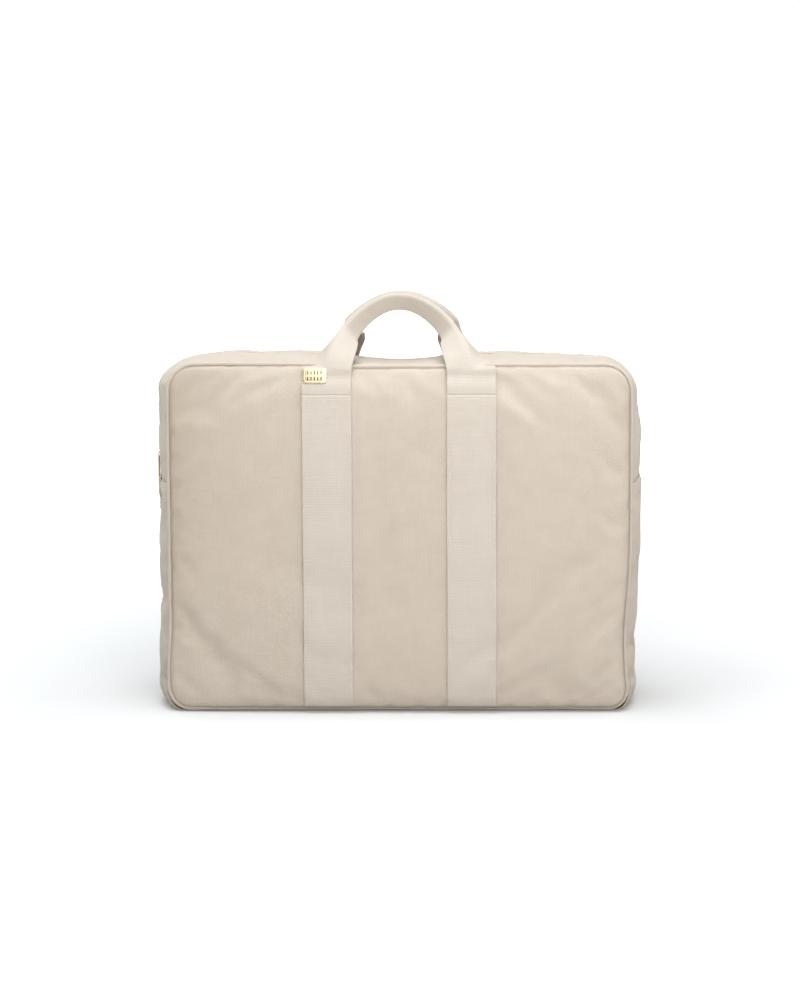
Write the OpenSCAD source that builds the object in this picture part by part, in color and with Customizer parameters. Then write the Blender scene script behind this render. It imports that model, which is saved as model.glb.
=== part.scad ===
// Soft canvas laptop bag: two padded panels joined by a gusset that a zip opens from
// side to side over the top, with two webbing handles that run down both faces.
// The origin is the middle of the base's underside. +X is to the right, +Y to the back, +Z up.
// Both panels fold outwards along a line at the zip's lower ends, so every piece that
// crosses that line is made as a lower and an upper solid.

/* [Case] */
// Width of a panel over its piping
case_w = 380; // [300:5:480]
// Height of a panel over its piping
case_h = 285; // [260:5:360]
// Depth between the two piping lines
case_d = 90; // [70:2:120]
// Corner radius of a panel over its piping
corner_r = 25; // [20:1:40]
// How far the gusset bulges past its edges
gusset_bulge = 8; // [4:1:12]
// Height of the zip's lower ends, where the panels fold
fold_z = 190; // [150:5:200]

/* [Fabric] */
// Thickness of the canvas
canvas_t = 1.2; // [0.8:0.1:1.5]
// Thickness of the lining
lining_t = 0.8; // [0.5:0.1:0.8]
// Thickness of the foam padding
foam_t = 4; // [2:0.5:5]
// Thickness of the stiffening board in the base
board_t = 2; // [1:0.5:3]
// Diameter of the piping
piping_d = 4; // [3:0.5:4]

/* [Handles] */
// Width of the webbing
strap_w = 40; // [30:1:50]
// Thickness of the webbing
strap_t = 2.1; // [1.5:0.1:2.5]
// Distance of a strap's middle from the middle of the bag
strap_x = 58.5; // [50:0.5:80]
// How far below the top edge the webbing comes free of the panel
free_drop = 23; // [15:1:30]
// Height of the handle's top above the bag's top edge
handle_rise = 57.5; // [50:0.5:90]
// Width of the webbing once it is folded into the grip
grip_w = 15; // [12:1:18]
// Thickness of the folded grip
grip_t = 6; // [4:0.5:8]

/* [Zip] */
// Width of one zip tape
tape_w = 12; // [10:1:16]
// Thickness of the zip tape
tape_t = 0.6; // [0.4:0.1:0.7]
// Width of one row of teeth
tooth_w = 2.3; // [1.5:0.1:2.5]
// Width of the channel between the two canvas edges
channel_w = 10; // [8:1:14]
// Length of the slider
slider_l = 11; // [8:1:14]
// Length of the puller below its pivot
puller_l = 32; // [20:1:40]

/* [Inside] */
// Height of the padded divider's top edge
divider_h = 228; // [150:1:240]
// Distance of the divider's front face behind the middle
divider_y = 5; // [0:1:12]
// Thickness of the padded divider
divider_t = 6; // [4:0.5:8]

/* [Hidden] */
$fn = 32;

canvas_colour = [0.80, 0.74, 0.66];
webbing_colour = [0.84, 0.79, 0.71];
lining_colour = [0.72, 0.68, 0.62];
foam_colour = [0.90, 0.90, 0.88];
gold_colour = [0.80, 0.66, 0.36];

// Gap left between layers and at the fold, so that no two pieces share a face
ply_gap = 0.1;
fold_gap = 0.3;
// The base bulges this far below the piping
base_lift = 2;
top_z = base_lift + case_h;
half_w = case_w / 2;
// Centres of the corner arcs
arc_x = half_w - corner_r;
arc_low_z = base_lift + corner_r;
arc_high_z = top_z - corner_r;

// Panels, counted outwards from the middle of the bag
pipe_r = piping_d / 2;
pipe_y = case_d / 2;
face_y = pipe_y + pipe_r + 0.4;
strap_in_y = face_y + ply_gap;
strap_out_y = strap_in_y + strap_t;
foam_y = face_y - canvas_t - ply_gap;
lining_y = foam_y - foam_t - ply_gap;
inner_y = lining_y - lining_t;
panel_inset = piping_d;
foam_inset = piping_d + 1;

// Gusset: its edges lie just behind the piping, 1 mm inside the outline
gusset_half = pipe_y - pipe_r;
edge_r = corner_r - 1;
base_drop = corner_r + base_lift - edge_r;
fade_h = 40;
low_fill = 0.45;
wall_step = (fold_z - arc_low_z - fade_h) / 2;
edge_gap = 1.1;

// Handle
free_z = top_z - free_drop;
bend_z = top_z + 2;
grip_r = 52.3;
grip_turn = 57.3;
grip_z = top_z + handle_rise - grip_w / 2 - grip_r;
grip_mid_y = 1 + grip_t / 2;

// Zip: heights are counted outwards from the canvas surface
tooth_low = -canvas_t;
tooth_top = 0.8;
tooth_gap = 0.1;
tape_top = -canvas_t - ply_gap;
slider_z = fold_z + 15.5;
slider_w = 8;
slider_plate_t = 1.5;
wall_x = arc_x + edge_r + gusset_bulge;
slider_x = wall_x + tooth_top + fold_gap;
pivot_x = slider_x + slider_plate_t + 1.6;
pin_r = 0.8;
pin_play = 0.05;
eye_t = 2;
puller_t = 1.2;
puller_w = 6;
arm_w = 1.5;
arm_l = 6;

// Tag
tag_w = 19;
tag_h = 12.4;
tag_t = 0.8;
tag_z = top_z - 14;

// ---- Stations along the gusset: [[x, z], [outward x, outward z], bulge] ----

function wall(z) =
    let (fill = min(1, low_fill + (1 - low_fill) * (z - arc_low_z) / fade_h))
    [[-arc_x - edge_r, z], [-1, 0], gusset_bulge * fill];

function low_corner(a) =
    let (r = edge_r + base_drop * sin(a))
    [[-arc_x - r * cos(a), arc_low_z - r * sin(a)], [-cos(a), -sin(a)],
     gusset_bulge * low_fill * cos(a)];

function high_corner(a) =
    [[-arc_x - edge_r * cos(a), arc_high_z + edge_r * sin(a)], [-cos(a), sin(a)], gusset_bulge];

function mirrored(stations) =
    [for (i = [len(stations) - 1 : -1 : 0])
        let (s = stations[i])
        [[-s[0][0], s[0][1]], [-s[1][0], s[1][1]], s[2]]];

lower_run = concat(
    [for (i = [0 : 2]) wall(fold_z - i * wall_step)],
    [wall(arc_low_z + fade_h / 2)],
    [for (a = [0 : 15 : 90]) low_corner(a)]);
left_run = concat(
    [wall(fold_z + fold_gap), wall((fold_z + arc_high_z) / 2)],
    [for (a = [0 : 15 : 90]) high_corner(a)]);
zip_run = concat(left_run, mirrored(left_run));

// A point of the gusset: v runs from -1 at the front edge to 1 at the back edge
function gusset_point(s, v, lift) =
    let (out = s[2] * (1 - v * v) + lift)
    [s[0][0] + s[1][0] * out, v * gusset_half, s[0][1] + s[1][1] * out];

// A closed strip that follows the gusset from y0 to y1, between two heights
module gusset_strip(run, y0, y1, low, high, cells) {
    n = len(run);
    m = cells + 1;
    v0 = y0 / gusset_half;
    v1 = y1 / gusset_half;
    points = [
        for (lift = [high, low])
            for (s = run)
                for (j = [0 : cells])
                    gusset_point(s, v0 + (v1 - v0) * j / cells, lift)
    ];
    under = n * m;
    top_faces = [
        for (i = [0 : n - 2])
            for (j = [0 : cells - 1])
                [i * m + j, (i + 1) * m + j, (i + 1) * m + j + 1, i * m + j + 1]
    ];
    low_faces = [
        for (f = top_faces)
            [under + f[3], under + f[2], under + f[1], under + f[0]]
    ];
    front_faces = [
        for (i = [0 : n - 2])
            [i * m, under + i * m, under + (i + 1) * m, (i + 1) * m]
    ];
    back_faces = [
        for (i = [0 : n - 2])
            [i * m + cells, (i + 1) * m + cells, under + (i + 1) * m + cells, under + i * m + cells]
    ];
    start_faces = [
        for (j = [0 : cells - 1])
            [j, j + 1, under + j + 1, under + j]
    ];
    last = (n - 1) * m;
    end_faces = [
        for (j = [0 : cells - 1])
            [last + j + 1, last + j, under + last + j, under + last + j + 1]
    ];
    polyhedron(
        points = points,
        faces = concat(top_faces, low_faces, front_faces, back_faces, start_faces, end_faces));
}

// ---- Panels ----

module outline(inset) {
    r = corner_r - inset;
    for (x = [-arc_x, arc_x])
        for (z = [arc_low_z, arc_high_z])
            translate([x, z])
                circle(r = r);
    translate([-arc_x - r, arc_low_z])
        square([2 * (arc_x + r), arc_high_z - arc_low_z]);
    translate([-arc_x, arc_low_z - r])
        square([2 * arc_x, arc_high_z - arc_low_z + 2 * r]);
}

// The part of a flat layer below the fold (upper = false) or above it
module layer(inset, y_in, y_out, upper) {
    reach = case_w + case_h;
    translate([0, -y_in, 0])
        rotate([90, 0, 0])
            linear_extrude(y_out - y_in)
                intersection() {
                    outline(inset);
                    translate([-reach / 2, upper ? fold_z + fold_gap : fold_z - reach])
                        square([reach, reach]);
                }
}

module to_back() {
    mirror([0, 1, 0])
        children();
}

module canvas_layer(upper) {
    color(canvas_colour)
        layer(panel_inset, face_y - canvas_t, face_y, upper);
}

module foam_layer(upper) {
    color(foam_colour)
        layer(foam_inset, foam_y - foam_t, foam_y, upper);
}

module lining_layer(upper) {
    color(lining_colour)
        layer(foam_inset, lining_y - lining_t, lining_y, upper);
}

// ---- Piping ----

module pipe_run(length) {
    cylinder(r = pipe_r, h = length);
}

module pipe_corner(start) {
    rotate([90, 0, 0])
        rotate([0, 0, start])
            rotate_extrude(angle = 90)
                translate([corner_r - pipe_r, 0])
                    circle(r = pipe_r);
}

module piping(upper) {
    side_x = half_w - pipe_r;
    z_bar = upper ? top_z - pipe_r : base_lift + pipe_r;
    z_arc = upper ? arc_high_z : arc_low_z;
    z_run = upper ? fold_z + fold_gap : arc_low_z;
    run = upper ? arc_high_z - fold_z - fold_gap : fold_z - arc_low_z;
    color(canvas_colour)
        translate([0, -pipe_y, 0]) {
            for (x = [-side_x, side_x])
                translate([x, 0, z_run])
                    pipe_run(run);
            translate([-arc_x, 0, z_bar])
                rotate([0, 90, 0])
                    pipe_run(2 * arc_x);
            translate([arc_x, 0, z_arc])
                pipe_corner(upper ? 0 : 270);
            translate([-arc_x, 0, z_arc])
                pipe_corner(upper ? 90 : 180);
        }
}

// ---- Straps sewn to a panel ----

module strap(x, upper) {
    z0 = upper ? fold_z + fold_gap : base_lift + panel_inset;
    z1 = upper ? free_z - fold_gap : fold_z;
    color(webbing_colour)
        translate([x - strap_w / 2, -strap_out_y, z0])
            cube([strap_w, strap_t, z1 - z0]);
}

// ---- Gusset ----

module zip_gusset() {
    color(canvas_colour)
        gusset_strip(zip_run, -gusset_half + edge_gap, -channel_w / 2, -canvas_t, 0, 4);
}

module zip_lining() {
    color(lining_colour)
        gusset_strip(
            zip_run, -gusset_half + edge_gap + 1, -tape_w - 1,
            -canvas_t - ply_gap - lining_t, -canvas_t - ply_gap, 3);
}

module zip_tape() {
    color(webbing_colour)
        gusset_strip(zip_run, -tape_w, -tooth_gap, tape_top - tape_t, tape_top, 1);
}

module zip_teeth() {
    color(webbing_colour)
        gusset_strip(zip_run, -tooth_w - tooth_gap, -tooth_gap, tooth_low, tooth_top, 1);
}

module side_gusset() {
    color(canvas_colour)
        gusset_strip(lower_run, -gusset_half, gusset_half, -canvas_t, 0, 8);
}

module side_lining() {
    hang = 0.6;
    color(lining_colour)
        gusset_strip(
            lower_run, 2 - gusset_half, gusset_half - 2,
            -canvas_t - hang - lining_t, -canvas_t - hang, 8);
}

module zip_end_tab() {
    tab_run = [wall(fold_z - ply_gap), wall(fold_z - 18)];
    color(canvas_colour)
        gusset_strip(tab_run, -13, 13, fold_gap, fold_gap + canvas_t, 4);
}

// ---- Base ----

module base_sheet(z0, t, edge_x, edge_y) {
    translate([-edge_x, -edge_y, z0])
        cube([2 * edge_x, 2 * edge_y, t]);
}

module base_panel() {
    color(canvas_colour)
        base_sheet(0, canvas_t, arc_x, gusset_half);
}

module base_foam() {
    color(foam_colour)
        base_sheet(canvas_t + ply_gap, foam_t, arc_x - 1, inner_y - 0.3);
}

module base_board() {
    color(lining_colour)
        base_sheet(canvas_t + foam_t + 2 * ply_gap, board_t, arc_x - 3, inner_y - 0.3);
}

module base_lining() {
    color(lining_colour)
        base_sheet(canvas_t + foam_t + board_t + 3 * ply_gap, lining_t, arc_x - 1, inner_y - 0.3);
}

// ---- Divider ----

module laptop_divider() {
    floor_z = canvas_t + foam_t + board_t + lining_t + 4 * ply_gap;
    color(lining_colour)
        translate([0, divider_y + divider_t, 0])
            rotate([90, 0, 0])
                linear_extrude(divider_t)
                    intersection() {
                        outline(foam_inset);
                        translate([-half_w, floor_z])
                            square([case_w, divider_h - floor_z]);
                    }
}

module divider_binding() {
    edge_x = half_w - foam_inset;
    wrap_h = 9;
    outer_y = divider_y - 1;
    color(canvas_colour)
        difference() {
            translate([-edge_x, outer_y, divider_h - wrap_h])
                cube([2 * edge_x, divider_t + 2, wrap_h + 1.1]);
            translate([-edge_x - 1, divider_y - ply_gap, divider_h - wrap_h - 1])
                cube([2 * edge_x + 2, divider_t + 2 * ply_gap, wrap_h + 1 + ply_gap]);
        }
}

// ---- Handles ----

module grip_end(side) {
    translate([0, -grip_mid_y, grip_z])
        rotate([0, side * grip_turn, 0])
            translate([-0.25, -grip_t / 2, grip_r - grip_w / 2])
                cube([0.5, grip_t, grip_w]);
}

module handle_leg(side) {
    translate([side * strap_x - strap_w / 2, -strap_out_y, free_z])
        cube([strap_w, strap_t, bend_z - free_z]);
    hull() {
        translate([side * strap_x - strap_w / 2, -strap_out_y, bend_z - 0.5])
            cube([strap_w, strap_t, 0.5]);
        grip_end(side);
    }
}

module grip() {
    translate([0, -grip_mid_y, grip_z])
        rotate([90, 0, 0])
            rotate([0, 0, 90 - grip_turn])
                rotate_extrude(angle = 2 * grip_turn)
                    translate([grip_r - grip_w / 2, -grip_t / 2])
                        square([grip_w, grip_t]);
}

module handle() {
    color(webbing_colour) {
        handle_leg(-1);
        handle_leg(1);
        grip();
    }
}

module metal_tag() {
    edge_x = -strap_x - strap_w / 2;
    plate_y = strap_out_y + ply_gap + tag_t;
    color(gold_colour)
        translate([edge_x - ply_gap - tag_t, -plate_y, tag_z]) {
            cube([tag_w, tag_t, tag_h]);
            cube([tag_t, plate_y - strap_in_y, tag_h]);
        }
}

// ---- Zip slider and puller, on the left side ----

module zip_slider() {
    bridge_l = slider_l - 3;
    color(gold_colour)
        difference() {
            union() {
                translate([-slider_x - slider_plate_t, -slider_w / 2, slider_z - slider_l / 2])
                    cube([slider_plate_t, slider_w, slider_l]);
                translate([-pivot_x - 1.7, -eye_t / 2, slider_z - bridge_l / 2])
                    cube([pivot_x + 1.7 - slider_x - slider_plate_t / 2, eye_t, bridge_l]);
            }
            translate([-pivot_x, 0, slider_z])
                rotate([90, 0, 0])
                    cylinder(r = pin_r + pin_play, h = slider_w, center = true);
        }
}

module zip_puller() {
    arm_y = eye_t / 2 + fold_gap;
    color(gold_colour)
        translate([-pivot_x, 0, slider_z]) {
            rotate([90, 0, 0])
                cylinder(r = pin_r, h = 2 * (arm_y + arm_w), center = true);
            for (side = [-1, 1])
                translate([-puller_t / 2, side > 0 ? arm_y : -arm_y - arm_w, -arm_l])
                    cube([puller_t, arm_w, arm_l + pin_r]);
            translate([-puller_t / 2, -puller_w / 2, -puller_l])
                cube([puller_t, puller_w, puller_l - arm_l]);
        }
}

// ---- Nodes ----

base_panel();
base_foam();
base_board();
base_lining();
side_gusset();  // side_gusset_left
mirror([1, 0, 0]) side_gusset();  // side_gusset_right
side_lining();  // side_lining_left
mirror([1, 0, 0]) side_lining();  // side_lining_right
canvas_layer(false);  // front_panel_lower
to_back() canvas_layer(false);  // back_panel_lower
foam_layer(false);  // front_foam_lower
to_back() foam_layer(false);  // back_foam_lower
lining_layer(false);  // front_lining_lower
to_back() lining_layer(false);  // back_lining_lower
piping(false);  // front_piping_lower
to_back() piping(false);  // back_piping_lower
strap(-strap_x, false);  // front_strap_left_lower
strap(strap_x, false);  // front_strap_right_lower
to_back() strap(-strap_x, false);  // back_strap_left_lower
to_back() strap(strap_x, false);  // back_strap_right_lower
zip_end_tab();  // zip_end_tab_left
mirror([1, 0, 0]) zip_end_tab();  // zip_end_tab_right
laptop_divider();
divider_binding();
canvas_layer(true);  // front_panel_upper
foam_layer(true);  // front_foam_upper
lining_layer(true);  // front_lining_upper
piping(true);  // front_piping_upper
strap(-strap_x, true);  // front_strap_left_upper
strap(strap_x, true);  // front_strap_right_upper
zip_gusset();  // front_zip_gusset
zip_lining();  // front_zip_lining
zip_tape();  // front_zip_tape
zip_teeth();  // front_zip_teeth
to_back() canvas_layer(true);  // back_panel_upper
to_back() foam_layer(true);  // back_foam_upper
to_back() lining_layer(true);  // back_lining_upper
to_back() piping(true);  // back_piping_upper
to_back() strap(-strap_x, true);  // back_strap_left_upper
to_back() strap(strap_x, true);  // back_strap_right_upper
to_back() zip_gusset();  // back_zip_gusset
to_back() zip_lining();  // back_zip_lining
to_back() zip_tape();  // back_zip_tape
to_back() zip_teeth();  // back_zip_teeth
handle();  // front_handle
metal_tag();
to_back() handle();  // back_handle
zip_slider();
zip_puller();
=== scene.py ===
"""A soft canvas laptop bag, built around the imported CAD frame.

Lengths are in metres. Every place is worked out from the frame's boxes, and MM turns a
thickness or a pitch that a seamstress would give in millimetres into metres.
"""

import math

import bmesh
import bpy
import numpy as np
from mathutils import Matrix, Vector, noise
from mathutils.bvhtree import BVHTree


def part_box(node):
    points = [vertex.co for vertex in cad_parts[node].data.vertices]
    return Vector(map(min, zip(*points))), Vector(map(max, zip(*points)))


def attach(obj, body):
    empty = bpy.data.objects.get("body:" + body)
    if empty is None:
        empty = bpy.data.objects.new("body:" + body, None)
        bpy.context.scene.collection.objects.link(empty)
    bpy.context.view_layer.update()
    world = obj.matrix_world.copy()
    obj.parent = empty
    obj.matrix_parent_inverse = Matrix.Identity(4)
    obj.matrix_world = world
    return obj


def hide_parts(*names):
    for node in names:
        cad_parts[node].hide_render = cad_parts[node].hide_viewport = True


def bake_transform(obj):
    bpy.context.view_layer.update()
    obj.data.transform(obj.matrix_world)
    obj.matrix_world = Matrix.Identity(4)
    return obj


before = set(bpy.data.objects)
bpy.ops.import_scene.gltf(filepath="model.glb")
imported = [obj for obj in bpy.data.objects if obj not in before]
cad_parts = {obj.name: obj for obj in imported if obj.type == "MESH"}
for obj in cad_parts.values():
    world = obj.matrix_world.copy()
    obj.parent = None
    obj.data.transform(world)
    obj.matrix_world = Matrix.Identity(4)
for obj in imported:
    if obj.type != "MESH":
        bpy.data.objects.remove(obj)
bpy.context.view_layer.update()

MM = 0.001
SIDES = {"front": -1, "back": 1}

# ---- Measures taken from the frame ----

pipe_low, pipe_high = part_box("front_piping_upper")
PIPE_Y = -(pipe_high.y + pipe_low.y) / 2
HALF_W = pipe_high.x
TOP_Z = pipe_high.z
LOW_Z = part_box("front_piping_lower")[0].z
ARC_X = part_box("base_panel")[1].x
CORNER_R = HALF_W - ARC_X
ARC_LOW_Z = LOW_Z + CORNER_R
ARC_HIGH_Z = TOP_Z - CORNER_R
MID_Z = (LOW_Z + TOP_Z) / 2
HALF_H = (TOP_Z - LOW_Z) / 2
FOLD_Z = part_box("front_panel_lower")[1].z
FACE_Y = -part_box("front_panel_lower")[0].y
GUSSET_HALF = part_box("base_panel")[1].y
EDGE_R = CORNER_R - 1 * MM
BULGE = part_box("side_gusset_right")[1].x - ARC_X - EDGE_R
BASE_DROP = ARC_LOW_Z - EDGE_R
STRAP_LOW, STRAP_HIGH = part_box("front_strap_right_upper")
STRAP_W = STRAP_HIGH.x - STRAP_LOW.x
STRAP_T = STRAP_HIGH.y - STRAP_LOW.y
STRAP_X = (STRAP_HIGH.x + STRAP_LOW.x) / 2
FREE_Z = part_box("front_handle")[0].z
HANDLE_TOP_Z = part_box("front_handle")[1].z
SLIDER_LOW, SLIDER_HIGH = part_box("zip_slider")
TAG_LOW, TAG_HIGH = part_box("metal_tag")

CANVAS_T = 1.1 * MM
LINING_T = 0.7 * MM
# How far a gusset reaches past its seam, under the piping
SEAM_LAP = 0.6 * MM
# Rays start this far from the bag's middle, outside it
RAY_START = 0.3
# Half the gap for the zip between the two upper gussets
CHANNEL = 4.4 * MM


# ---- How the soft bag settles ----


def bump_at(value, centre, spread):
    return math.exp(-(((value - centre) / spread) ** 2))


def ramp(value, start, end):
    """0 before start, 1 after end, smooth between them."""
    t = min(1.0, max(0.0, (value - start) / (end - start)))
    return t * t * (3 - 2 * t)


def settle(p):
    """Moves a point of the evenly filled bag to where the soft bag's own weight leaves it.

    The front's top edge stands up a little on both sides of the handles. The back's sags
    between them and at its corners. The lower part leans a few millimetres to the left, and
    the whole lower edge sinks until its piping rests on the floor.
    """
    x, y, z = p
    high = ramp(z, 0.62 * TOP_Z, 0.98 * TOP_Z)
    back = min(1.0, max(0.0, (y + PIPE_Y) / (2 * PIPE_Y)))
    front_rise = 1.0 + 2.4 * ramp(-x, 30 * MM, 95 * MM) + 1.3 * ramp(x, 30 * MM, 95 * MM)
    middle = 6.5 * bump_at(x, 0, 46 * MM)
    corner = 7.0 * bump_at(x, -174 * MM, 21 * MM)
    right = 9.0 * max(0.0, x / (175 * MM)) ** 3
    rise = front_rise * (1 - back) - (middle + corner + right) * back
    edge = ramp(abs(x), 110 * MM, 175 * MM)
    lean = 4.4 * bump_at(z, 60 * MM, 44 * MM) if x > 0 else 2.5 * bump_at(z, 34 * MM, 28 * MM)
    sink = 1.5 * (1 - ramp(z, 4 * MM, 55 * MM))
    corner_x = min(1.0, max(0.0, (abs(x) - ARC_X) / CORNER_R))
    corner_z = min(1.0, max(0.0, (ARC_LOW_Z - z) / CORNER_R))
    square = 4.2 * corner_x * corner_z
    x += math.copysign(square * MM, x) - lean * MM * edge
    return (x, y, max(z + rise * MM * high - (sink + square) * MM, 0.0))


# ---- Small helpers ----


def ripple(x, y, z, size, seed):
    """Smooth noise from -1 to 1, the same on each run."""
    return noise.noise(Vector((x / size + seed, y / size + 2 * seed, z / size - seed)))


def squarish(value, power):
    """A sine or cosine raised to a power with its sign kept, for rounded rectangles."""
    return math.copysign(abs(value) ** power, value)


def add_object(name, data):
    obj = bpy.data.objects.new(name, data)
    bpy.context.scene.collection.objects.link(obj)
    return obj


def mesh_object(name, verts, faces):
    mesh = bpy.data.meshes.new(name)
    mesh.from_pydata([tuple(v) for v in verts], [], faces)
    return add_object(name, mesh)


def shade_smooth(obj):
    for poly in obj.data.polygons:
        poly.use_smooth = True


def edit_mesh(obj, change=None):
    """Changes the object's mesh with a function, and turns its faces outwards."""
    bm = bmesh.new()
    bm.from_mesh(obj.data)
    if change:
        change(bm)
    bmesh.ops.recalc_face_normals(bm, faces=bm.faces)
    bm.to_mesh(obj.data)
    bm.free()


def open_edges(bm):
    return [e for e in bm.edges if e.is_boundary]


def surface_tree(obj):
    return BVHTree.FromObject(obj, bpy.context.evaluated_depsgraph_get())


def off_plane(axis, a, b, off=0.0):
    """A vector with a and b in the plane of a face, and off along the face's axis."""
    return Vector((off, a, b) if axis == "x" else (a, off, b))


def cast(tree, axis, sign, a, b):
    """Where a ray from outside the bag meets a surface: the place, the normal and two more."""
    return tree.ray_cast(off_plane(axis, a, b, sign * RAY_START), off_plane(axis, 0, 0, -sign))


def circle(count):
    """The cosine and sine of evenly spaced angles."""
    angles = [2 * math.pi * k / count for k in range(count)]
    return [(math.cos(a), math.sin(a)) for a in angles]


def tube_faces(start, rings, around):
    """The faces of a closed tube of rings of points, numbered from start."""
    faces = []
    for i in range(rings - 1):
        for j in range(around):
            a, b = start + i * around + j, start + i * around + (j + 1) % around
            faces.append((a, b, b + around, a + around))
    last = start + (rings - 1) * around
    faces.append(tuple(start + around - 1 - j for j in range(around)))
    faces.append(tuple(last + j for j in range(around)))
    return faces


def grid_object(name, points, uv=None, close_v=False):
    """A quad mesh over points[i, j], with a map called weave that holds lengths in metres."""
    points = np.asarray(points, float)
    n, m = points.shape[:2]
    faces = []
    for i in range(n - 1):
        for j in range(m if close_v else m - 1):
            k = (j + 1) % m
            faces.append((i * m + j, i * m + k, (i + 1) * m + k, (i + 1) * m + j))
    obj = mesh_object(name, points.reshape(-1, 3), faces)
    mesh = obj.data
    if uv is None:
        du = np.linalg.norm(np.diff(points, axis=0), axis=2)
        dv = np.linalg.norm(np.diff(points, axis=1), axis=2)
        u = np.vstack([np.zeros((1, m)), np.cumsum(du, axis=0)])
        v = np.hstack([np.zeros((n, 1)), np.cumsum(dv, axis=1)])
        uv = np.dstack([u, v])
    flat = np.asarray(uv, float).reshape(-1, 2)
    layer = mesh.uv_layers.new(name="weave")
    seam = np.linalg.norm(points[0, 1] - points[0, 0]) if close_v else 0
    for poly in mesh.polygons:
        for k, loop in enumerate(poly.loop_indices):
            vert = mesh.loops[loop].vertex_index
            u, v = flat[vert]
            if close_v and vert % m == 0 and k in (1, 2):
                v = flat[vert + m - 1][1] + seam
            layer.data[loop].uv = (u, v)
    shade_smooth(obj)
    return obj


def apply_modifiers(obj):
    """Makes the shown shape the object's own mesh."""
    dg = bpy.context.evaluated_depsgraph_get()
    mesh = bpy.data.meshes.new_from_object(obj.evaluated_get(dg))
    obj.modifiers.clear()
    obj.data = mesh
    return obj


def thicken(obj, thickness, offset=-1.0):
    mod = obj.modifiers.new("thickness", "SOLIDIFY")
    mod.thickness = thickness
    mod.offset = offset
    mod.use_even_offset = False
    return apply_modifiers(obj)


def face_outwards(obj, inside=(0, 0, 0.14)):
    """Turns the faces so that most look away from a point inside the bag."""
    mesh = obj.data
    centre = Vector(inside)
    score = sum(p.normal.dot(p.center - centre) * p.area for p in mesh.polygons)
    if score < 0:
        mesh.flip_normals()
    return obj


def join(name, objects):
    """One object from several, keeping their maps and materials."""
    for o in bpy.context.selected_objects:
        o.select_set(False)
    for o in objects:
        o.select_set(True)
    bpy.context.view_layer.objects.active = objects[0]
    bpy.ops.object.join()
    objects[0].name = name
    objects[0].data.name = name
    return objects[0]


def fold_blend(obj):
    """Bakes the piece's place into its mesh."""
    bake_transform(obj)


def handle_blend(obj):
    """Bakes the webbing's place into its mesh."""
    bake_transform(obj)


# ---- Camera, light and floor ----


def make_camera():
    """The photograph looks down by about 10 degrees from 2.7 m away."""
    cam = bpy.data.cameras.new("camera")
    cam.lens = 120.2
    cam.clip_start = 0.1
    cam.clip_end = 200
    obj = add_object("camera", cam)
    obj.location = (0.047, -2.718, 0.646)
    turn = Matrix.Identity(4)
    for degrees, axis in ((1.0, "Z"), (90 - 9.97, "X"), (-0.25, "Z")):
        turn = turn @ Matrix.Rotation(math.radians(degrees), 4, axis)
    obj.rotation_euler = turn.to_euler()
    bpy.context.scene.camera = obj


def area_light(name, place, target, size, power, colour=(1, 1, 1), spread=180):
    light = bpy.data.lights.new(name, "AREA")
    light.shape = "RECTANGLE"
    light.size, light.size_y = size
    light.energy = power
    light.color = colour
    light.spread = math.radians(spread)
    obj = add_object(name, light)
    obj.location = place
    aim = Vector(target) - Vector(place)
    obj.rotation_euler = aim.to_track_quat("-Z", "Y").to_euler()


WARM = (1.0, 0.985, 0.965)


def make_stage():
    world = bpy.data.worlds.new("studio")
    world.use_nodes = True
    back = world.node_tree.nodes["Background"]
    back.inputs["Color"].default_value = (1.0, 0.995, 0.985, 1)
    back.inputs["Strength"].default_value = 0.24
    bpy.context.scene.world = world
    area_light("overhead", (-0.15, -0.5, 3.0), (0, 0, 0.1), (2.3, 2.3), 112, (0.955, 1.0, 1.03))
    area_light("key", (0.2, -1.1, 0.8), (0.08, -0.05, 0.02), (0.6, 0.6), 0.93, WARM, spread=70)
    area_light("side", (1.5, -1.0, 0.5), (0, 0, 0.12), (1.1, 1.1), 6.2, WARM)
    area_light("fill", (-1.6, 2.0, 1.1), (0, 0, 0.15), (1.4, 1.4), 11)
    bpy.ops.mesh.primitive_plane_add(size=120, location=(0, 0, 0))
    floor = bpy.context.object
    floor.name = "floor"
    floor.data.materials.append(floor_material())
    scene = bpy.context.scene
    scene.view_settings.view_transform = "Standard"
    scene.view_settings.look = "None"


# ---- Materials ----


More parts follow.
